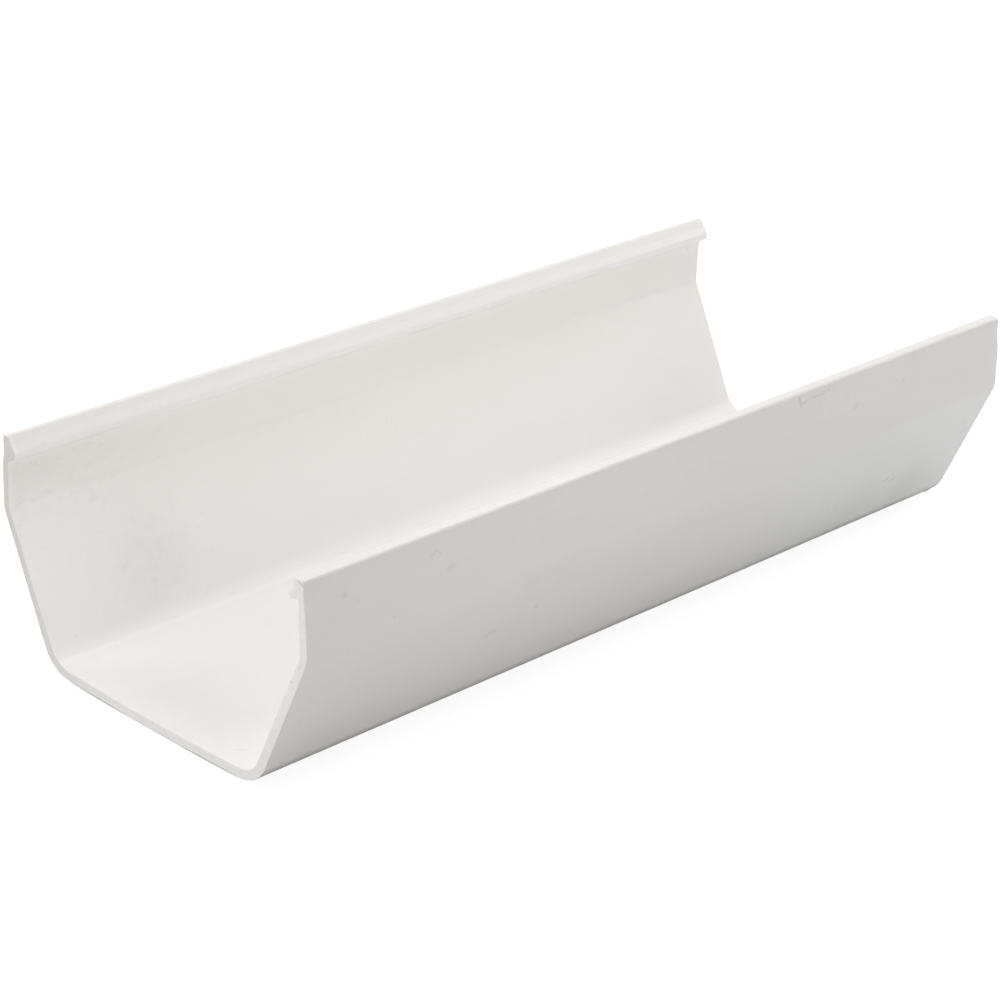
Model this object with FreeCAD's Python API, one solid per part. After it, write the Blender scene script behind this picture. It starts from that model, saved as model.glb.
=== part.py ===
"""A short length of square-line rainwater gutter, extruded in one piece.

Axes: +X along the gutter, -Y the front (street) side, +Y the back (wall) side, +Z up.
Origin: on the underside of the base, midway along the length and across the width.
All sizes are in millimetres.

The section is a trough with a flat-bottomed base, two slanted walls that open upwards, a bend,
and two nearly upright walls that end in rims. Both rims turn into the trough as lips for the
support brackets to clip over. The front lip is a hook, and the back lip is a plain bead.
"""

import FreeCAD, Part
import math
import os
from collections import namedtuple

# Overall sizes
LENGTH = 253.5             # saw cut to saw cut
OVERALL_WIDTH = 114.0      # across the bends, the widest place
FOOT_WIDTH = 79.0          # across the two bottom corners, taken sharp
BEND_HEIGHT = 39.6         # from the underside up to the bends, taken sharp
UPRIGHT_HEIGHT = 19.9      # from the bends up to the top of the rims

# The base sags to a narrow flat that carries the water and that the gutter stands on
FLAT_WIDTH = 20.0          # across the two faint folds of the base, taken sharp
FOOT_RISE = 0.8            # how much higher than the flat the bottom corners lie

# The outer face steps in below the rim, where a bracket's clip grips
RIM_SETBACK = 1.0          # rim to bend, on each side
SHOULDER_SETBACK = 0.3     # foot of the step to bend, on each side
RIM_BAND_HEIGHT = 4.3      # plain band along the top
STEP_HEIGHT = 4.0          # from the band down to the foot of the step

# Wall thickness
BASE_WALL = 2.5
FRONT_WALL = 2.5           # upright wall and bend
FRONT_FOOT_WALL = 2.9      # slanted wall at the bottom corner
BACK_WALL = 2.0
BACK_FOOT_WALL = 2.5

# Outer radii of the section
FOLD_RADIUS = 100.0
FOOT_RADIUS = 10.0
BEND_RADIUS = 6.0
STEP_RADIUS = 15.0
RIM_EDGE_RADIUS = 0.6
LEAST_RADIUS = 0.3         # the sharpest edge that the die leaves

# A lip, measured inwards from the rim's outer face and down from its top.
# Its flank runs from the top by way of the waist to the blunt nose. Its underside drops by
# underside_fall from the nose to the wall on a bead, and rises (a negative fall) on a hook.
Lip = namedtuple("Lip", [
    "top_width", "top_radius",
    "waist_reach", "waist_drop", "waist_radius",
    "nose_reach", "nose_drop", "nose_height", "nose_undercut",
    "underside_fall", "root_radius",
])

FRONT_LIP = Lip(
    top_width=3.1, top_radius=LEAST_RADIUS,
    waist_reach=3.6, waist_drop=2.2, waist_radius=4.0,
    nose_reach=4.9, nose_drop=4.4, nose_height=1.2, nose_undercut=0.1,
    underside_fall=-0.8, root_radius=0.4,
)
BACK_LIP = Lip(
    top_width=2.2, top_radius=0.8,
    waist_reach=3.2, waist_drop=1.9, waist_radius=2.0,
    nose_reach=4.6, nose_drop=3.9, nose_height=1.6, nose_undercut=0.2,
    underside_fall=1.6, root_radius=1.0,
)

NO_TURN = 1e-6             # radians: a smaller turn than this counts as straight on
SHARE_OF_RUN = 0.48        # how much of a straight run one rounded end of it may take

# A corner of the section, where it would be if it were sharp, and the radius that rounds it
Corner = namedtuple("Corner", ["y", "z", "radius"])


def heading(start, end):
    """Unit direction from one corner to another, and the distance."""
    run = math.hypot(end.y - start.y, end.z - start.z)
    return (end.y - start.y) / run, (end.z - start.z) / run, run


def turn_at(before, corner, after):
    """Angle in radians by which the outline turns at a corner, positive to the left."""
    y_in, z_in, _ = heading(before, corner)
    y_out, z_out, _ = heading(corner, after)
    return math.atan2(y_in * z_out - z_in * y_out, y_in * y_out + z_in * z_out)


def inset_corner(before, corner, after, wall_before, wall_after, radius):
    """The inner corner opposite an outer one, with the wall's thickness on each side of it.

    The outer face runs upwards on the back of the gutter, so the wall lies to its left.
    """
    y_in, z_in, _ = heading(before, corner)
    turn = turn_at(before, corner, after)
    back_along_run = 0
    if abs(turn) > NO_TURN:
        back_along_run = (wall_after - wall_before * math.cos(turn)) / math.sin(turn)
    y = corner.y - wall_before * z_in - back_along_run * y_in
    z = corner.z + wall_before * y_in - back_along_run * z_in
    return Corner(y, z, max(radius, LEAST_RADIUS))


def side_corners(wall, foot_wall, lip):
    """Corners of the back half of the section, up the outer face, over the lip and down inside."""
    half_width = OVERALL_WIDTH / 2
    rim_y = half_width - RIM_SETBACK
    top = BEND_HEIGHT + UPRIGHT_HEIGHT
    band_z = top - RIM_BAND_HEIGHT

    fold = Corner(FLAT_WIDTH / 2, 0, FOLD_RADIUS)
    foot = Corner(FOOT_WIDTH / 2, FOOT_RISE, FOOT_RADIUS)
    bend = Corner(half_width, BEND_HEIGHT, BEND_RADIUS)
    shoulder = Corner(half_width - SHOULDER_SETBACK, band_z - STEP_HEIGHT, STEP_RADIUS)
    band = Corner(rim_y, band_z, STEP_RADIUS)
    rim = Corner(rim_y, top, RIM_EDGE_RADIUS)
    outer_face = [fold, foot, bend, shoulder, band, rim]

    inner_bend = inset_corner(foot, bend, shoulder, wall, wall, BEND_RADIUS - wall)
    inner_foot = inset_corner(fold, foot, bend, BASE_WALL, foot_wall, FOOT_RADIUS - foot_wall)
    middle = Corner(0, 0, 0)
    inner_fold = inset_corner(middle, fold, foot, BASE_WALL, BASE_WALL, FOLD_RADIUS - BASE_WALL)

    nose_y = rim_y - lip.nose_reach
    nose_z = top - lip.nose_drop
    nose_foot_z = nose_z - lip.nose_height
    root_z = nose_foot_z - lip.underside_fall
    root_y = inner_bend.y + (root_z - inner_bend.z) * (shoulder.y - bend.y) / (shoulder.z - bend.z)
    lip_face = [
        Corner(rim_y - lip.top_width, top, lip.top_radius),
        Corner(rim_y - lip.waist_reach, top - lip.waist_drop, lip.waist_radius),
        Corner(nose_y, nose_z, LEAST_RADIUS),
        Corner(nose_y + lip.nose_undercut, nose_foot_z, LEAST_RADIUS),
        Corner(root_y, root_z, lip.root_radius),
    ]
    return outer_face + lip_face + [inner_bend, inner_foot, inner_fold]


def section_corners():
    """All corners of the closed section, anticlockwise with the back wall on the right."""
    back = side_corners(BACK_WALL, BACK_FOOT_WALL, BACK_LIP)
    front = side_corners(FRONT_WALL, FRONT_FOOT_WALL, FRONT_LIP)
    mirrored = [Corner(-corner.y, corner.z, corner.radius) for corner in front]
    return back + mirrored[::-1]


def rounding(before, corner, after):
    """Start, middle and end of the arc that rounds a corner, tangent to both of its runs.

    A radius that its shorter run has no room for is cut down to fit.
    """
    y_in, z_in, run_in = heading(before, corner)
    y_out, z_out, run_out = heading(corner, after)
    half_turn = abs(turn_at(before, corner, after)) / 2
    room = SHARE_OF_RUN * min(run_in, run_out)
    setback = min(corner.radius * math.tan(half_turn), room)
    radius = setback / math.tan(half_turn)
    tip = FreeCAD.Vector(0, corner.y, corner.z)
    start = tip - FreeCAD.Vector(0, y_in, z_in) * setback
    end = tip + FreeCAD.Vector(0, y_out, z_out) * setback
    towards_centre = FreeCAD.Vector(0, y_out - y_in, z_out - z_in).normalize()
    middle = tip + towards_centre * radius * (1 / math.cos(half_turn) - 1)
    return start, middle, end


def rounded_wire(corners):
    """A closed wire of straight runs and tangent arcs. A corner where nothing turns is passed over."""
    arcs = []
    for index, corner in enumerate(corners):
        before = corners[index - 1]
        after = corners[(index + 1) % len(corners)]
        if abs(turn_at(before, corner, after)) > NO_TURN:
            arcs.append(rounding(before, corner, after))
    edges = []
    for index, (start, middle, end) in enumerate(arcs):
        next_start = arcs[(index + 1) % len(arcs)][0]
        edges.append(Part.Arc(start, middle, end).toShape())
        edges.append(Part.LineSegment(end, next_start).toShape())
    return Part.Wire(edges)


def gutter_section():
    """The section, drawn at the left saw cut and extruded to the right one."""
    face = Part.Face(rounded_wire(section_corners()))
    face.translate(FreeCAD.Vector(-LENGTH / 2, 0, 0))
    return face.extrude(FreeCAD.Vector(LENGTH, 0, 0))


def main():
    os.makedirs("parts", exist_ok=True)
    gutter = gutter_section()
    gutter.exportStep("parts/gutter_section.step")
    box = gutter.BoundBox
    print(f"gutter_section: {box.XLength:.2f} x {box.YLength:.2f} x {box.ZLength:.2f} mm, "
          f"solids {len(gutter.Solids)}, valid {gutter.isValid()}, "
          f"volume {gutter.Volume:.0f} mm3, lowest point {box.ZMin:.3f}")


main()
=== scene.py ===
import math
from collections import namedtuple

import bmesh
import bpy
from mathutils import Matrix, Vector


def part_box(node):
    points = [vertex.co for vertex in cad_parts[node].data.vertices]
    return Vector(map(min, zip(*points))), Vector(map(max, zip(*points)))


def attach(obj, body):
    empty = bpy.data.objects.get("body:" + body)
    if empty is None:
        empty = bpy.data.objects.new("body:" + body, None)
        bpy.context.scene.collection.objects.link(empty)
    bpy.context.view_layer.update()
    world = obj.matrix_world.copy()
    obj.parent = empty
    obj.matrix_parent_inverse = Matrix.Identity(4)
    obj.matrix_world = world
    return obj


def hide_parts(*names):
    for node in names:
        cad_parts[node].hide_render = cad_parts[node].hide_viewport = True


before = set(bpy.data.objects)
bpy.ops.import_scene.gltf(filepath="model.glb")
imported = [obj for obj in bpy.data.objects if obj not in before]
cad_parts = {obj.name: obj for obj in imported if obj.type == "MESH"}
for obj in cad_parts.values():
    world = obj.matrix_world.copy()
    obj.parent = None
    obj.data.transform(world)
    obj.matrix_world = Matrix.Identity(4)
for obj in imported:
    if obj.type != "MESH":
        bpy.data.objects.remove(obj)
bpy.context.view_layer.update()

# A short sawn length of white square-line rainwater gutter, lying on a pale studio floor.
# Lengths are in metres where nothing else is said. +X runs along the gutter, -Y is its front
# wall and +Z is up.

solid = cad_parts["gutter_section"]
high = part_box("gutter_section")[1]
half_length = high.x
top = high.z

MM = 0.001

# Mesh
SAME_POINT = 0.001 * MM           # closer than this, two points of the solid's mesh are one
SAME_FACE = math.radians(0.05)    # flatter than this, two triangles are one face
SHARP = math.radians(35)          # edges that turn more than this stay crisp
CAP_FACING = 0.9                  # the solid's faces that look along X by more close its saw cuts
EASED_EDGE = 0.18 * MM            # how far a scraped saw cut is eased
SLICE_LENGTH = 5 * MM             # slices along the gutter
STRIP_WIDTH = 4 * MM              # strips across its flat walls
PAST_END = half_length + SAME_POINT

# The nose of the back lip, whose two corners are soft, and a box round it
NOSE_LOW = (-PAST_END, 50 * MM, 53.8 * MM)
NOSE_HIGH = (PAST_END, 52 * MM, 56 * MM)
NOSE_CORNER = 0.45 * MM           # the points of one of its corners lie closer together than this
NOSE_ROUNDING = 0.62 * MM

# The burr that the saw left under the right cut, on the front foot, and a box round it
BURR_LENGTH = 1.2 * MM
BURR_DROP = 0.5 * MM
BURR_LOW = (half_length - BURR_LENGTH - SAME_POINT, -37.6 * MM, -SAME_POINT)
BURR_HIGH = (PAST_END, -35.6 * MM, 2 * MM)

# Finish
OUTSIDE, INSIDE, SAWN = range(3)  # the order of the gutter's three materials
CUT_FACING = 0.5                  # faces that look along X by more than this are sawn
SATIN_ROUGHNESS = 0.36
SAWN_ROUGHNESS = 0.55
SAW_TILT = math.radians(24)       # of the lines that the saw's teeth left, from upright
PVC_WHITE = (0.88, 0.87, 0.855, 1)
CLOUDED_WHITE = (0.865, 0.856, 0.84, 1)
WASHED_WHITE = (0.872, 0.87, 0.866, 1)
SUNNED_WHITE = (0.893, 0.865, 0.843, 1)
# painted light, for the highlight line at the back wall's foot and the lightened nose of the back lip
PAINTED_LIGHT_WHITE = (0.92, 0.91, 0.90, 1)
LEFT_END_WHITE = (0.928, 0.909, 0.890, 1)
# painted light, for the strip on the back wall by the left cut
PAINTED_CUT_LIGHT_WHITE = (0.92, 0.91, 0.89, 1)
CUT_WHITE = (0.885, 0.875, 0.86, 1)
BRUISED_WHITE = (0.91, 0.90, 0.89, 1)
# the dark colour that grime and painted shade blend towards
GRIME_AND_SHADE = (0.27, 0.25, 0.22, 1)

# A cloud of dried silt on the back wall, and the painted highlight line along the wall's foot
SILT_MIDDLE = (-88.5 * MM, 45 * MM, 18.7 * MM)
SILT_REACH = 18 * MM
HIGHLIGHT_LINE_Y = 36.3 * MM

# A mark runs from start to end, and is a round spot where they are the same place. Its edge is
# half_width away from that line. All three are in millimetres. Strength is how much it darkens:
# grime for most marks, painted shade for the two broad spots on the outside.
Mark = namedtuple("Mark", ["start", "end", "half_width", "strength"])


def spot(x, y, z, half_width, strength):
    """A round mark. All but its strength is in millimetres."""
    return Mark((x, y, z), (x, y, z), half_width, strength)


OUTSIDE_MARKS = [
    spot(-115, -56.4, 52.7, 1.5, 0.14),
    spot(-111, -56.7, 50.3, 0.8, 0.10),
    spot(-100, -56.9, 42.6, 0.6, 0.15),
    spot(-120.5, -47.7, 18.9, 0.6, 0.15),
    spot(-27.5, -43.6, 9.8, 0.8, 0.14),
    spot(85, -56.6, 52.0, 0.9, 0.12),
    spot(-3.5, -56.0, 58.7, 0.7, 0.09),
    spot(-16, -56.8, 48.4, 0.8, 0.07),
    spot(122.8, -50.5, 25.3, 1.3, 0.13),
    spot(120, -52.4, 29.3, 1.3, 0.10),
    spot(69.7, -46.4, 16.0, 0.6, 0.12),
    spot(73.3, -46.0, 15.1, 0.6, 0.12),
    spot(43.4, -48.4, 20.5, 0.7, 0.12),
    spot(43.1, -56.0, 56.1, 0.9, 0.20),
    spot(54.2, -56.0, 57.6, 0.9, 0.15),
    Mark((-82.6, -56.8, 49.2), (-81.4, -56.8, 49.4), 1.5, 0.10),
    Mark((64.6, -56.7, 50.1), (65.8, -56.7, 50.3), 1.8, 0.12),
    spot(-47.2, -50.8, 25.8, 1.0, 0.20),
    Mark((-88.2, -56.3, 53.8), (-86.1, -56.1, 54.9), 0.35, 0.19),
    Mark((-86.1, -56.1, 54.9), (-85.0, -56.3, 53.6), 0.35, 0.19),
    Mark((-56.0, -55.0, 35.3), (-52.0, -55.7, 36.7), 1.2, 0.055),
    Mark((-62.4, -49.3, 22.4), (-60.4, -49.6, 23.0), 1.6, 0.09),
    Mark((42.3, -56.0, 58.2), (43.1, -56.0, 56.1), 0.60, 0.22),
    Mark((43.1, -56.0, 56.1), (45.4, -56.0, 56.5), 0.55, 0.18),
    Mark((47.4, -56.0, 57.1), (50.6, -56.0, 56.8), 0.55, 0.14),
    Mark((50.6, -56.0, 56.8), (54.2, -56.0, 57.6), 0.50, 0.13),
    Mark((93.0, -46.8, 17.0), (94.1, -47.0, 17.5), 1.15, 0.19),
    Mark((96.6, -46.3, 15.9), (97.6, -46.6, 16.5), 1.15, 0.19),
    # painted shade: the two broad soft spots below darken the lower right of the front wall
    spot(86, -43.8, 10, 20, 0.045),
    spot(105, -43.8, 10, 14, 0.09),
]
INSIDE_MARKS = [
    spot(-106.6, 54.7, 50.5, 1.2, 0.07),
    spot(-115, 54.7, 50.2, 0.6, 0.07),
    spot(-103, 54.9, 41.4, 1.0, 0.07),
    spot(-123.4, 54.9, 41.9, 0.6, 0.11),
    spot(-111.6, 54.4, 38.6, 0.6, 0.10),
    spot(-113.1, 51.7, 33.0, 0.5, 0.10),
    spot(-119.7, 49.8, 28.8, 0.6, 0.08),
    spot(-95.2, 47.1, 23.1, 0.6, 0.10),
    spot(-77.1, 47.0, 23.0, 0.6, 0.10),
    spot(-73.8, 46.6, 22.1, 0.6, 0.10),
    spot(-99.3, 45.0, 18.7, 1.8, 0.06),
    spot(-91.7, 42.7, 13.6, 1.8, 0.06),
    spot(-104.3, 42.4, 13.0, 0.6, 0.10),
    spot(-46.5, 54.3, 38.4, 0.6, 0.08),
    spot(-44.9, 51.6, 32.7, 0.6, 0.08),
    spot(-3.8, 50.8, 31.0, 0.6, 0.10),
    spot(23.4, 44.0, 16.5, 0.5, 0.08),
    spot(74.0, 54.9, 42.4, 0.9, 0.10),
    spot(121.6, 54.7, 51.4, 0.8, 0.15),
    spot(-125.3, 22.4, 2.8, 0.6, 0.13),
    spot(-119.0, 3.3, 2.5, 0.5, 0.08),
    spot(-101.3, 0.9, 2.5, 0.5, 0.07),
    Mark((-77.6, 39.1, 6.3), (-75.8, 40.4, 8.7), 0.35, 0.10),
    Mark((-121.5, -25.3, 2.9), (-119.8, -27.1, 3.0), 0.35, 0.17),
]
CUT_MARKS = [
    Mark((-126.7, -54.1, 59.3), (-126.7, -55.9, 58.5), 0.55, 0.30),
    Mark((-126.7, -54.0, 37.2), (-126.7, -55.4, 38.8), 0.6, 0.12),
    spot(-126.7, -51.6, 33.0, 0.6, 0.36),
    spot(-126.7, -52.2, 31.6, 0.45, 0.32),
    spot(-126.7, -46.1, 21.2, 0.6, 0.14),
]

# Camera
CAMERA_PLACE = Vector((-0.5213, -0.5104, 0.3487))
CAMERA_AIM = Vector((-0.0068, 0.0030, 0.0242))
CAMERA_ROLL = math.radians(1.483)
CAMERA_LENS = 108.43              # on a 36 mm sensor

# Studio
FLOOR_SIZE = 6.0
FLOOR_DROP = 0.05 * MM            # below the gutter, so that the two never share a plane
CONTACT_REACH = 1.0 * MM          # closer than this to the gutter, the camera sees a painted contact shadow
PLAIN_FLOOR = (0.75, 0.75, 0.75, 1)
MIRRORED_FLOOR = (0.9, 0.9, 0.9, 1)
SHADOWED_FLOOR = (0.2, 0.2, 0.2, 1)
LIGHTS_AIM = Vector((0, 0, 0.03))

# A softbox is square. Its place, its side in metres and its power in watts.
Softbox = namedtuple("Softbox", ["name", "place", "side", "watts"])
SOFTBOXES = [
    Softbox("overhead_softbox", (0, 0, 0.9), 0.5, 2.84),
    Softbox("front_softbox", (0, -1.2, 0.6), 0.8, 5.65),
    Softbox("back_softbox", (0, 1.2, 0.5), 0.8, 9.34),
    Softbox("back_left_softbox", (-0.9, 0.5, 0.9), 0.6, 4.54),
    Softbox("left_softbox", (-1.2, 0, 0.35), 0.6, 3.77),
    Softbox("right_softbox", (1.2, 0, 0.35), 0.6, 12.74),
]


def select_nothing():
    """Leaves no object selected."""
    bpy.ops.object.select_all(action="DESELECT")


def make_active(thing):
    """Selects this object alone and makes it active."""
    select_nothing()
    thing.select_set(True)
    bpy.context.view_layer.objects.active = thing


def slice_all(place, normal):
    """Cuts all faces of the active piece along a plane, and keeps both sides."""
    bpy.ops.mesh.select_all(action="SELECT")
    bpy.ops.mesh.bisect(plane_co=place, plane_no=normal)


def steps_between(start, end, step):
    """Evenly spaced places between two ends, about a step apart, with neither end."""
    count = max(1, round((end - start) / step))
    return [start + (end - start) * index / count for index in range(1, count)]


def apply_modifier(piece, kind, **settings):
    """Adds a modifier to the piece, which is the active one, sets it and applies it."""
    bpy.ops.object.modifier_add(type=kind)
    modifier = piece.modifiers[-1]
    for name, value in settings.items():
        setattr(modifier, name, value)
    bpy.ops.object.modifier_apply(modifier=modifier.name)


def pick(piece, kind, test):
    """Selects the "edges" or "faces" of the piece being edited that pass a test, and nothing else."""
    bpy.ops.mesh.select_all(action="DESELECT")
    mesh = bmesh.from_edit_mesh(piece.data)
    for part in getattr(mesh, kind):
        if test(part):
            part.select_set(True)
    bmesh.update_edit_mesh(piece.data)


def lies_within(low_corner, high_corner):
    """A test for an edge with both of its ends in a box."""
    return lambda edge: all(
        least < value < most
        for end in edge.verts
        for least, value, most in zip(low_corner, end.co, high_corner))


def lies_in_cut(x):
    """A test for an edge that lies in the saw cut at x."""
    return lambda edge: all(abs(end.co.x - x) < SAME_POINT for end in edge.verts)


def crosses_gutter(edge):
    """True for an edge of the section, and false for one that runs along the gutter."""
    return abs(edge.verts[0].co.x - edge.verts[1].co.x) < SAME_POINT


def strips_in(edge):
    """How many strips a flat of the section is divided into, from its edge in a saw cut."""
    return max(1, round(edge.calc_length() / STRIP_WIDTH)) if crosses_gutter(edge) else 1


def round_nose(piece):
    """Rounds the two corners of the back lip's nose."""
    on_nose = lies_within(NOSE_LOW, NOSE_HIGH)
    pick(piece, "edges", on_nose)
    bpy.ops.mesh.remove_doubles(threshold=NOSE_CORNER)
    pick(piece, "edges", lambda edge: on_nose(edge) and not crosses_gutter(edge))
    bpy.ops.mesh.bevel(offset=NOSE_ROUNDING, segments=5, affect="EDGES", clamp_overlap=True)


def divide_walls(piece):
    """Divides the flats of the section into strips, and the whole gutter into slices."""
    most_strips = max(strips_in(edge) for edge in bmesh.from_edit_mesh(piece.data).edges)
    for strips in range(most_strips, 1, -1):
        pick(piece, "edges", lambda edge: strips_in(edge) == strips)
        bpy.ops.mesh.subdivide(number_cuts=strips - 1)
    slices = steps_between(-half_length, half_length, SLICE_LENGTH)
    for x in [*slices, half_length - 2 * BURR_LENGTH, half_length - BURR_LENGTH]:
        slice_all((x, 0, 0), (1, 0, 0))


def close_saw_cut(piece, x):
    """Closes the gutter's open end at x, and eases the edges round it."""
    pick(piece, "edges", lies_in_cut(x))
    bpy.ops.mesh.edge_face_add()
    pick(piece, "edges", lies_in_cut(x))
    bpy.ops.mesh.bevel(offset=EASED_EDGE, segments=2, affect="EDGES", clamp_overlap=False)


def gutter_extrusion():
    """The extrusion with its two saw cuts, from a copy of the solid."""
    piece = bpy.data.objects.new("gutter_extrusion", solid.data.copy())
    bpy.context.scene.collection.objects.link(piece)
    make_active(piece)
    bpy.ops.object.mode_set(mode="EDIT")
    bpy.ops.mesh.select_mode(type="EDGE")
    bpy.ops.mesh.select_all(action="SELECT")
    bpy.ops.mesh.remove_doubles(threshold=SAME_POINT)
    bpy.ops.mesh.dissolve_limited(angle_limit=SAME_FACE)

    bpy.ops.mesh.select_mode(type="FACE")
    pick(piece, "faces", lambda face: abs(face.normal.x) > CAP_FACING)
    bpy.ops.mesh.delete(type="ONLY_FACE")
    bpy.ops.mesh.select_mode(type="EDGE")
    round_nose(piece)
    divide_walls(piece)
    for x in (-half_length, half_length):
        close_saw_cut(piece, x)
    pick(piece, "edges", lies_within(BURR_LOW, BURR_HIGH))
    bpy.ops.transform.translate(value=(0, 0, -BURR_DROP))

    bpy.ops.mesh.select_all(action="SELECT")
    bpy.ops.mesh.normals_make_consistent(inside=False)
    bpy.ops.object.mode_set(mode="OBJECT")
    bpy.ops.object.shade_smooth_by_angle(angle=SHARP)
    apply_modifier(piece, "WEIGHTED_NORMAL", weight=100, keep_sharp=True)
    return piece


def add_node(tree, kind, inputs=None, **settings):
    """Adds a node. Each of its inputs, by name or number, gets a value or another node's output."""
    node = tree.nodes.new(kind)
    for name, value in settings.items():
        setattr(node, name, value)
    for name, value in (inputs or {}).items():
        if isinstance(value, bpy.types.NodeSocket):
            tree.links.new(value, node.inputs[name])
        else:
            node.inputs[name].default_value = value
    return node


def calc(tree, operation, *values, clamp=False):
    """The result of a Math node on numbers and outputs."""
    inputs = dict(enumerate(values))
    return add_node(tree, "ShaderNodeMath", inputs, operation=operation, use_clamp=clamp).outputs[0]


def product(tree, *factors):
    """The product of masks and numbers. A product of masks is white only where all of them are."""
    result = factors[0]
    for factor in factors[1:]:
        result = calc(tree, "MULTIPLY", result, factor)
    return result


def add_layers(tree, total, *layers):
    """The total with more on it. Each layer is a mask, and how much it adds where that is white."""
    for mask, amount in layers:
        total = calc(tree, "ADD", total, product(tree, mask, amount))
    return total


def vector_calc(tree, operation, *values):
    """The vector that a Vector Math node makes, or its number where the operation gives one."""
    node = add_node(tree, "ShaderNodeVectorMath", dict(enumerate(values)), operation=operation)
    gives_number = operation in ("LENGTH", "DOT_PRODUCT", "DISTANCE")
    return node.outputs["Value" if gives_number else "Vector"]


def scaled(tree, vector, scale):
    """The vector times a number."""
    inputs = {0: vector, "Scale": scale}
    return add_node(tree, "ShaderNodeVectorMath", inputs, operation="SCALE").outputs["Vector"]


def split(tree, place):
    """The X, Y and Z of a place."""
    return add_node(tree, "ShaderNodeSeparateXYZ", {0: place}).outputs


def fade(tree, value, start, end):
    """Goes smoothly from 0 where the value is at start to 1 where it is at end."""
    inputs = {"Value": value, "From Min": start, "From Max": end}
    return add_node(tree, "ShaderNodeMapRange", inputs, interpolation_type="SMOOTHSTEP").outputs[0]


def blend_colours(tree, share, first, second):
    """The first colour where the share is 0, and the second where it is 1."""
    inputs = {0: share, 6: first, 7: second}
    return add_node(tree, "ShaderNodeMix", inputs, data_type="RGBA").outputs[2]


def noise(tree, place, size, detail=2.0, roughness=0.5):
    """Noise from 0 to 1 whose blotches are about the given size in metres."""
    inputs = {"Vector": place, "Scale": 1 / size, "Detail": detail, "Roughness": roughness}
    return add_node(tree, "ShaderNodeTexNoise", inputs).outputs["Fac"]


def bump(tree, height, distance, strength, normal=None):
    """A normal bumped by a height from 0 to 1, on top of another normal where there is one."""
    inputs = {"Height": height, "Distance": distance, "Strength": strength}
    if normal is not None:
        inputs["Normal"] = normal
    return add_node(tree, "ShaderNodeBump", inputs).outputs[0]


def stretch(tree, place, along_x):
    """Place with the X axis shortened, so that what is drawn there is as many times longer."""
    inputs = {"Vector": place, "Scale": (1 / along_x, 1, 1)}
    return add_node(tree, "ShaderNodeMapping", inputs, vector_type="POINT").outputs[0]


def start_group(name, inputs, outputs):
    """An empty node group. Gives the group, what comes in by name, and where its results go.

    Each socket is given by its name and the number it starts at, or None where it is a vector.
    """
    group = bpy.data.node_groups.new(name, "ShaderNodeTree")
    for in_out, sockets in (("INPUT", inputs), ("OUTPUT", outputs)):
        for socket_name, default in sockets.items():
            kind = "NodeSocketVector" if default is None else "NodeSocketFloat"
            socket = group.interface.new_socket(socket_name, in_out=in_out, socket_type=kind)
            if default is not None:
                socket.default_value = default
    inlet = group.nodes.new("NodeGroupInput").outputs
    outlet = group.nodes.new("NodeGroupOutput").inputs
    return group, inlet, outlet


def add_group(tree, name, inputs):
    """Places a node group by its name, and gives its outputs."""
    group = bpy.data.node_groups[name]
    return add_node(tree, "ShaderNodeGroup", inputs, node_tree=group).outputs


def build_spot_group():
    """A round spot with a soft edge."""
    group, inlet, outlet = start_group(
        "spot", {"Place": None, "Middle": None, "Half Width": 1 * MM, "Strength": 1.0}, {"Mask": 0.0})
    distance = vector_calc(group, "DISTANCE", inlet["Place"], inlet["Middle"])
    mask = fade(group, calc(group, "DIVIDE", distance, inlet["Half Width"]), 1.0, 0.0)
    group.links.new(product(group, mask, inlet["Strength"]), outlet["Mask"])


def build_scratch_group():
    """A straight scratch between two places, with a soft edge."""
    group, inlet, outlet = start_group(
        "scratch", {"Place": None, "Start": None, "End": None, "Half Width": 1 * MM, "Strength": 1.0},
        {"Mask": 0.0})
    from_start = vector_calc(group, "SUBTRACT", inlet["Place"], inlet["Start"])
    run = vector_calc(group, "SUBTRACT", inlet["End"], inlet["Start"])
    along = vector_calc(group, "DOT_PRODUCT", from_start, run)
    run_squared = vector_calc(group, "DOT_PRODUCT", run, run)
    share = calc(group, "DIVIDE", along, run_squared, clamp=True)
    from_line = vector_calc(group, "SUBTRACT", from_start, scaled(group, run, share))
    distance = vector_calc(group, "LENGTH", from_line)
    mask = fade(group, calc(group, "DIVIDE", distance, inlet["Half Width"]), 1.0, 0.0)
    group.links.new(product(group, mask, inlet["Strength"]), outlet["Mask"])


def build_specks_group():
    """Specks of dirt scattered over the surface, of uneven sizes and strengths."""
    group, inlet, outlet = start_group(
        "specks", {"Place": None, "Spacing": 3 * MM, "Radius": 0.3 * MM, "Share": 0.3}, {"Mask": 0.0})
    voronoi = add_node(group, "ShaderNodeTexVoronoi", {
        "Vector": inlet["Place"], "Scale": calc(group, "DIVIDE", 1.0, inlet["Spacing"])})
    distance = product(group, voronoi.outputs["Distance"], inlet["Spacing"])
    chance = add_node(group, "ShaderNodeSeparateColor", {0: voronoi.outputs["Color"]}).outputs
    radius = product(group, calc(group, "ADD", chance[1], 0.35), inlet["Radius"])
    speck = fade(group, calc(group, "DIVIDE", distance, radius), 1.0, 0.0)
    chosen = calc(group, "LESS_THAN", chance[0], inlet["Share"])
    strength = add_layers(group, 0.3, (chance[2], 0.7))
    group.links.new(product(group, speck, chosen, strength), outlet["Mask"])


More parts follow.
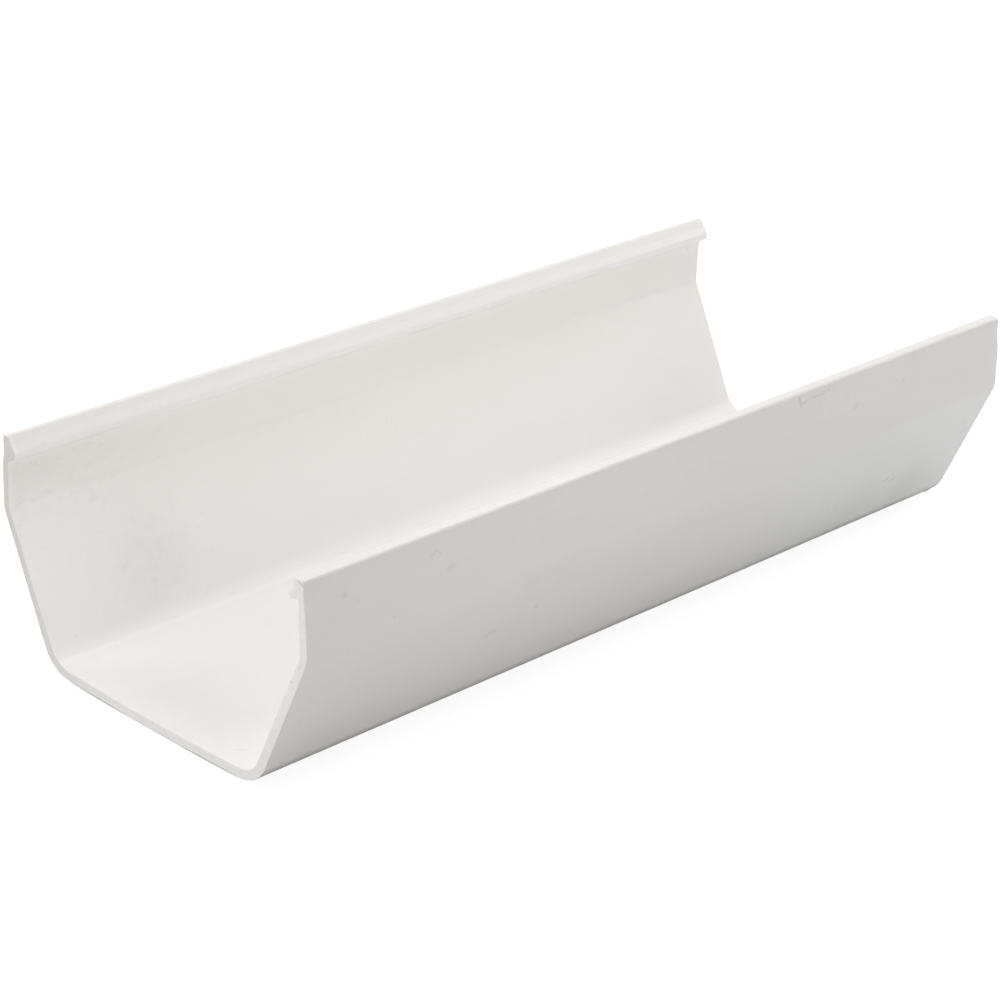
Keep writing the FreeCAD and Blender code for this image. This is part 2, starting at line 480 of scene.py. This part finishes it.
def build_edge_wear_group():
    """Worn and soiled edges: 1 along an edge and 0 elsewhere, broken up so that no edge is even."""
    group, inlet, outlet = start_group(
        "edge_wear", {"Place": None, "Reach": 0.4 * MM, "Patch Size": 3 * MM}, {"Mask": 0.0})
    rounded = add_node(group, "ShaderNodeBevel", {"Radius": inlet["Reach"]}, samples=4).outputs[0]
    flat = add_node(group, "ShaderNodeNewGeometry").outputs["Normal"]
    edge = fade(group, vector_calc(group, "DOT_PRODUCT", rounded, flat), 0.995, 0.86)
    patches = add_node(group, "ShaderNodeTexNoise", {
        "Vector": inlet["Place"], "Scale": calc(group, "DIVIDE", 1.0, inlet["Patch Size"]),
        "Detail": 3.0, "Roughness": 0.6})
    broken = fade(group, patches.outputs["Fac"], 0.38, 0.62)
    group.links.new(product(group, edge, broken), outlet["Mask"])


def build_wander_group():
    """A place pushed about by noise, so that what is drawn there has an uneven outline."""
    group, inlet, outlet = start_group(
        "wander", {"Place": None, "Reach": 0.7 * MM, "Size": 0.8 * MM}, {"Uneven Place": None})
    push = add_node(group, "ShaderNodeTexNoise", {
        "Vector": inlet["Place"], "Scale": calc(group, "DIVIDE", 1.0, inlet["Size"]),
        "Detail": 2.0}).outputs["Color"]
    centred = vector_calc(group, "SUBTRACT", push, (0.5, 0.5, 0.5))
    uneven = vector_calc(group, "ADD", inlet["Place"], scaled(group, centred, inlet["Reach"]))
    group.links.new(uneven, outlet["Uneven Place"])


def build_die_skin_group():
    """The satin skin that the die leaves: fine and broad lines along the gutter, and clouds."""
    group, inlet, outlet = start_group(
        "die_skin", {"Place": None}, {"Lines": 0.0, "Clouds": 0.0, "Normal": None})
    place = inlet["Place"]
    die_lines = noise(group, stretch(group, place, 400), 0.9 * MM, detail=3.0, roughness=0.6)
    broad_lines = noise(group, stretch(group, place, 120), 5 * MM, detail=1.0)
    clouds = noise(group, stretch(group, place, 2.5), 22 * MM, detail=3.0)
    orange_peel = noise(group, stretch(group, place, 3), 3 * MM, detail=1.0)
    normal = bump(group, die_lines, 0.006 * MM, 0.5)
    normal = bump(group, broad_lines, 0.02 * MM, 0.5, normal)
    normal = bump(group, orange_peel, 0.012 * MM, 0.5, normal)
    group.links.new(fade(group, die_lines, 0.30, 0.62), outlet["Lines"])
    group.links.new(fade(group, clouds, 0.3, 0.7), outlet["Clouds"])
    group.links.new(normal, outlet["Normal"])


def build_settled_dirt_group():
    """What settles on all of the skin: specks, more of them to the left, dust and worn edges."""
    group, inlet, outlet = start_group(
        "settled_dirt", {"Place": None, "Uneven Place": None, "Dirtiest": 0.5}, {"Soil": 0.0})
    place = inlet["Place"]
    axes = split(group, place)
    to_the_left = fade(group, axes["X"], -20 * MM, -125 * MM)
    specks = add_group(group, "specks", {
        "Place": inlet["Uneven Place"], "Spacing": 2.0 * MM, "Radius": 0.42 * MM,
        "Share": add_layers(group, 0.06, (to_the_left, inlet["Dirtiest"]))})["Mask"]
    dust = product(
        group, fade(group, noise(group, place, 1.4 * MM, detail=4.0, roughness=0.7), 0.5, 0.8),
        fade(group, noise(group, place, 30 * MM, detail=1.0), 0.48, 0.66))
    worn = add_group(group, "edge_wear", {
        "Place": place, "Reach": 0.35 * MM, "Patch Size": 4 * MM})["Mask"]
    on_rim = fade(group, axes["Z"], top - 0.35 * MM, top - 0.1 * MM)
    at_back = fade(group, axes["Y"], -10 * MM, 10 * MM)
    to_the_right = fade(group, axes["X"], -80 * MM, 110 * MM)
    dusty = calc(group, "MAXIMUM", product(group, at_back, 0.8), to_the_right)
    darkening = add_layers(
        group, 0.0, (specks, 0.13), (dust, 0.05), (worn, 0.02), (on_rim, 0.05),
        (product(group, on_rim, dusty), 0.12))
    group.links.new(darkening, outlet["Soil"])


def all_marks(tree, place, marks):
    """One mask for a list of marks."""
    mask = None
    for mark in marks:
        start, end = (tuple(value * MM for value in point) for point in (mark.start, mark.end))
        size = {"Place": place, "Half Width": mark.half_width * MM, "Strength": mark.strength}
        if start == end:
            one = add_group(tree, "spot", {"Middle": start, **size})["Mask"]
        else:
            one = add_group(tree, "scratch", {"Start": start, "End": end, **size})["Mask"]
        mask = one if mask is None else calc(tree, "MAXIMUM", mask, one)
    return mask


def new_material(name):
    """A plastic. Gives the material, its tree, its finish and the place that it is seen at."""
    material = bpy.data.materials.new(name)
    material.use_nodes = True
    tree = material.node_tree
    finish = tree.nodes["Principled BSDF"].inputs
    finish["Specular IOR Level"].default_value = 0.4
    place = add_node(tree, "ShaderNodeTexCoord").outputs["Object"]
    return material, tree, finish, place


def colour_in(tree, finish, white, darkening):
    """Gives the finish its white, darkened by grime and painted shade."""
    tree.links.new(blend_colours(tree, darkening, white, GRIME_AND_SHADE), finish["Base Color"])


def start_skin(name, marks, dirtiest):
    """A material of die-drawn skin with its marks, dirt and painted shade, still without its colour.

    Gives what new_material gives, and the skin's clean white and how much dirt and painted shade
    darken it.
    """
    material, tree, finish, place = new_material(name)
    uneven = add_group(tree, "wander", {
        "Place": place, "Reach": 0.7 * MM, "Size": 0.8 * MM})["Uneven Place"]
    skin = add_group(tree, "die_skin", {"Place": place})
    settled = add_group(tree, "settled_dirt", {
        "Place": place, "Uneven Place": uneven, "Dirtiest": dirtiest})["Soil"]
    white = blend_colours(tree, skin["Clouds"], PVC_WHITE, CLOUDED_WHITE)
    darkening = calc(tree, "ADD", settled, all_marks(tree, uneven, marks))
    darkening = add_layers(tree, darkening, (skin["Lines"], 0.010))
    satin = add_layers(tree, SATIN_ROUGHNESS, (skin["Clouds"], 0.03), (skin["Lines"], 0.06))
    tree.links.new(calc(tree, "ADD", satin, darkening, clamp=True), finish["Roughness"])
    tree.links.new(skin["Normal"], finish["Normal"])
    return material, tree, finish, place, white, darkening


def outside_skin():
    """The outside: yellowed by the sun, with painted shade to the left and along both feet."""
    material, tree, finish, place, white, darkening = start_skin("outside_white_pvc", OUTSIDE_MARKS, 0.2)
    axes = split(tree, place)
    sunned = product(
        tree, fade(tree, axes["Z"], 36 * MM, 42 * MM), fade(tree, axes["X"], -30 * MM, -120 * MM))
    washed = product(
        tree, fade(tree, axes["X"], -10 * MM, 90 * MM), fade(tree, axes["Z"], 42 * MM, 34 * MM))
    white = blend_colours(tree, sunned, white, SUNNED_WHITE)
    white = blend_colours(tree, washed, white, WASHED_WHITE)

    # painted shade: the outside darkens towards the left end
    painted_shade_to_left = fade(tree, axes["X"], -60 * MM, -135 * MM)
    from_middle = calc(tree, "ABSOLUTE", axes["Y"])
    # painted shade: a dark band along both feet, where they curve under towards the floor
    painted_foot_shade = product(
        tree, fade(tree, from_middle, 34 * MM, 37 * MM), fade(tree, axes["Z"], 6.5 * MM, 2.4 * MM))
    darkening = add_layers(tree, darkening, (painted_shade_to_left, 0.09), (painted_foot_shade, 0.50))
    colour_in(tree, finish, white, darkening)
    return material


def inside_skin():
    """The inside: a silt cloud, painted shade in the corners, and a painted light strip by the left
    cut.
    """
    material, tree, finish, place, white, darkening = start_skin("inside_white_pvc", INSIDE_MARKS, 0.8)
    axes = split(tree, place)
    sunned = product(
        tree, fade(tree, axes["Z"], 5 * MM, 46 * MM), fade(tree, axes["Z"], 54 * MM, 51 * MM))
    # lighter towards the left cut, on the lower walls
    lighter_to_left_end = product(
        tree, fade(tree, axes["X"], -88 * MM, -128 * MM), fade(tree, axes["Z"], 4 * MM, 9 * MM),
        fade(tree, axes["Z"], 46 * MM, 38 * MM))
    # painted highlight: a bright line along the back wall's foot
    from_highlight_line = calc(tree, "ABSOLUTE", calc(tree, "SUBTRACT", axes["Y"], HIGHLIGHT_LINE_Y))
    painted_highlight_line = product(
        tree, fade(tree, from_highlight_line, 0.9 * MM, 0.2 * MM), fade(tree, axes["Z"], 6 * MM, 5 * MM))
    # painted light: a lighter strip on the back wall next to the left cut
    painted_light_by_cut = product(
        tree, fade(tree, axes["X"], -124.7 * MM, -126 * MM),
        fade(tree, axes["Z"], 20 * MM, 45 * MM), fade(tree, axes["Y"], 34 * MM, 38 * MM))
    # painted light: lightens the shaded underside of the back lip's nose
    nose = product(
        tree, fade(tree, axes["Z"], 53.0 * MM, 53.5 * MM), fade(tree, axes["Z"], 56 * MM, 55 * MM),
        fade(tree, axes["Y"], 49 * MM, 50 * MM))
    white = blend_colours(tree, sunned, white, SUNNED_WHITE)
    white = blend_colours(tree, lighter_to_left_end, white, LEFT_END_WHITE)
    white = blend_colours(tree, product(tree, painted_highlight_line, 0.6), white, PAINTED_LIGHT_WHITE)
    white = blend_colours(tree, painted_light_by_cut, white, PAINTED_CUT_LIGHT_WHITE)
    white = blend_colours(tree, nose, white, PAINTED_LIGHT_WHITE)

    silt = add_group(tree, "spot", {
        "Place": place, "Middle": SILT_MIDDLE, "Half Width": SILT_REACH})["Mask"]
    blotches = fade(tree, noise(tree, place, 2.6 * MM, detail=4.0, roughness=0.6), 0.35, 0.65)
    below_lip = fade(tree, axes["Z"], 54.5 * MM, 53 * MM)
    # painted shade together with grime: darker under the lip towards the left end
    shade_and_grime_under_lip = product(
        tree, fade(tree, axes["X"], -75 * MM, -126 * MM), fade(tree, axes["Z"], 43 * MM, 50 * MM),
        below_lip)
    smeary = noise(tree, stretch(tree, place, 1.8), 1.8 * MM, detail=3.0, roughness=0.6)
    smears = product(
        tree, fade(tree, smeary, 0.56, 0.72), fade(tree, axes["X"], -60 * MM, -110 * MM),
        fade(tree, axes["Z"], 28 * MM, 44 * MM), below_lip)
    from_middle = calc(tree, "ABSOLUTE", axes["Y"])
    # painted shade: darker in the corners at the foot of both walls, towards the right end
    painted_corner_shade = product(
        tree, fade(tree, from_middle, 27 * MM, 36 * MM), fade(tree, axes["Z"], 8 * MM, 5.5 * MM),
        fade(tree, axes["X"], 10 * MM, 100 * MM))
    darkening = add_layers(
        tree, darkening, (silt, 0.045), (product(tree, silt, blotches), 0.045), (painted_corner_shade, 0.07),
        (shade_and_grime_under_lip, 0.045), (smears, 0.09))
    colour_in(tree, finish, white, darkening)
    return material


def sawn_face():
    """A saw cut: dull and mottled, with faint tooth lines, a furred edge and painted shade towards
    the back wall.
    """
    material, tree, finish, place = new_material("sawn_white_pvc")
    uneven = add_group(tree, "wander", {
        "Place": place, "Reach": 0.6 * MM, "Size": 0.7 * MM})["Uneven Place"]
    mottle = noise(tree, place, 1.1 * MM, detail=4.0, roughness=0.65)
    blotches = noise(tree, place, 5 * MM, detail=2.0)
    along_teeth = add_node(tree, "ShaderNodeMapping", {
        "Vector": place, "Rotation": (SAW_TILT, 0, 0), "Scale": (1, 0.06, 1)}).outputs[0]
    tooth_lines = noise(tree, along_teeth, 0.45 * MM, detail=3.0, roughness=0.6)

    white = blend_colours(tree, fade(tree, blotches, 0.3, 0.7), CUT_WHITE, BRUISED_WHITE)
    specks = add_group(tree, "specks", {
        "Place": uneven, "Spacing": 1.6 * MM, "Radius": 0.3 * MM, "Share": 0.35})["Mask"]
    worn = add_group(tree, "edge_wear", {
        "Place": place, "Reach": 0.45 * MM, "Patch Size": 1.5 * MM})["Mask"]
    # painted shade: the cut face darkens towards the back wall
    at_back = fade(tree, split(tree, place)["Y"], 8 * MM, 62 * MM)
    darkening = add_layers(
        tree, all_marks(tree, uneven, CUT_MARKS), (fade(tree, mottle, 0.42, 0.75), 0.07),
        (fade(tree, tooth_lines, 0.45, 0.75), 0.06), (worn, 0.12), (specks, 0.20), (at_back, 0.33))
    colour_in(tree, finish, white, darkening)
    tree.links.new(add_layers(tree, SAWN_ROUGHNESS, (mottle, 0.2)), finish["Roughness"])
    rough = bump(tree, mottle, 0.10 * MM, 0.8)
    tree.links.new(bump(tree, tooth_lines, 0.06 * MM, 0.7, rough), finish["Normal"])
    return material


def give_finishes(piece):
    """Gives the piece its finishes: sawn at both ends, and skin on the inside and outside."""
    piece.data.materials.clear()
    for material in (outside_skin(), inside_skin(), sawn_face()):
        piece.data.materials.append(material)
    trough_middle = Vector((0, 0, top / 2))
    for face in piece.data.polygons:
        if abs(face.normal.x) > CUT_FACING:
            face.material_index = SAWN
        elif face.normal.dot(trough_middle - face.center) > 0:
            face.material_index = INSIDE
        else:
            face.material_index = OUTSIDE


def seen_by(tree, *kinds):
    """A mask that is 1 for the light paths of these kinds, such as "Is Camera Ray"."""
    path = add_node(tree, "ShaderNodeLightPath").outputs
    mask = path[kinds[0]]
    for kind in kinds[1:]:
        mask = calc(tree, "MAXIMUM", mask, path[kind])
    return mask


def mix_shaders(tree, share, first, second):
    """The first shader where the share is 0, and the second where it is 1."""
    return add_node(tree, "ShaderNodeMixShader", {0: share, 1: first, 2: second}).outputs[0]


def floor_material():
    """A pale floor that the camera sees as a white sweep, still with the gutter's shadow on it.

    The gutter's gloss mirrors white paint, and its walls are lit by the plain floor. Close to the
    gutter, the camera sees a painted contact shadow on the floor.
    """
    material = bpy.data.materials.new("studio_floor")
    material.use_nodes = True
    tree = material.node_tree
    tree.nodes.clear()
    plain, mirrored, shadowed = (
        add_node(tree, "ShaderNodeBsdfDiffuse", {"Color": colour}).outputs[0]
        for colour in (PLAIN_FLOOR, MIRRORED_FLOOR, SHADOWED_FLOOR))
    # painted shade: a dark contact line on the floor where it nears the gutter
    closeness = add_node(tree, "ShaderNodeAmbientOcclusion", {"Distance": CONTACT_REACH}, samples=8)
    clear_of_painted_contact_shadow = fade(tree, closeness.outputs["AO"], 0.05, 0.6)
    place = add_node(tree, "ShaderNodeTexCoord").outputs["Object"]
    far_off = fade(tree, vector_calc(tree, "LENGTH", place), 0.3, 1.2)
    glow = product(tree, clear_of_painted_contact_shadow, add_layers(tree, 0.9, (far_off, 0.1)))
    sweep = add_node(tree, "ShaderNodeEmission", {"Strength": glow}).outputs[0]
    seen = add_node(tree, "ShaderNodeAddShader", {0: shadowed, 1: sweep}).outputs[0]
    in_gloss = mix_shaders(
        tree, seen_by(tree, "Is Glossy Ray", "Is Transmission Ray"), plain, mirrored)
    in_view = mix_shaders(tree, seen_by(tree, "Is Camera Ray"), in_gloss, seen)
    add_node(tree, "ShaderNodeOutputMaterial", {"Surface": in_view})
    return material


def white_surround():
    """A world that lights nothing, and is white where it is seen straight on or in gloss."""
    world = bpy.data.worlds.new("white_surround")
    bpy.context.scene.world = world
    world.use_nodes = True
    tree = world.node_tree
    background = tree.nodes["Background"].inputs
    background["Color"].default_value = (1, 1, 1, 1)
    seen = seen_by(tree, "Is Camera Ray", "Is Glossy Ray", "Is Transmission Ray")
    tree.links.new(seen, background["Strength"])


def hang_softbox(softbox):
    """A square lamp at its place, aimed at the gutter."""
    light = bpy.data.lights.new(softbox.name, "AREA")
    light.shape = "SQUARE"
    light.size = softbox.side
    light.energy = softbox.watts
    lamp = bpy.data.objects.new(softbox.name, light)
    bpy.context.scene.collection.objects.link(lamp)
    place = Vector(softbox.place)
    turn = (LIGHTS_AIM - place).to_track_quat("-Z", "Y").to_matrix()
    lamp.matrix_world = Matrix.Translation(place) @ turn.to_4x4()


def studio():
    """The surround, the floor and the lamps."""
    white_surround()
    bpy.ops.mesh.primitive_plane_add(size=FLOOR_SIZE, location=(0, 0, -FLOOR_DROP))
    floor = bpy.context.active_object
    floor.name = "studio_floor"
    floor.data.materials.append(floor_material())
    for softbox in SOFTBOXES:
        hang_softbox(softbox)


def camera():
    """The camera of the photo."""
    data = bpy.data.cameras.new("camera")
    data.sensor_width = 36
    data.lens = CAMERA_LENS
    data.clip_start = 0.01
    data.clip_end = 50
    thing = bpy.data.objects.new("camera", data)
    bpy.context.scene.collection.objects.link(thing)
    look = (CAMERA_AIM - CAMERA_PLACE).to_track_quat("-Z", "Y").to_matrix()
    roll = Matrix.Rotation(CAMERA_ROLL, 3, "Z")
    thing.matrix_world = Matrix.Translation(CAMERA_PLACE) @ (look @ roll).to_4x4()
    bpy.context.scene.camera = thing


select_nothing()
bpy.context.scene.view_settings.view_transform = "Standard"
camera()
studio()
for build_group in (
        build_spot_group, build_scratch_group, build_specks_group, build_edge_wear_group,
        build_wander_group, build_die_skin_group, build_settled_dirt_group):
    build_group()
gutter = gutter_extrusion()
give_finishes(gutter)
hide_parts("gutter_section")
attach(gutter, "root")
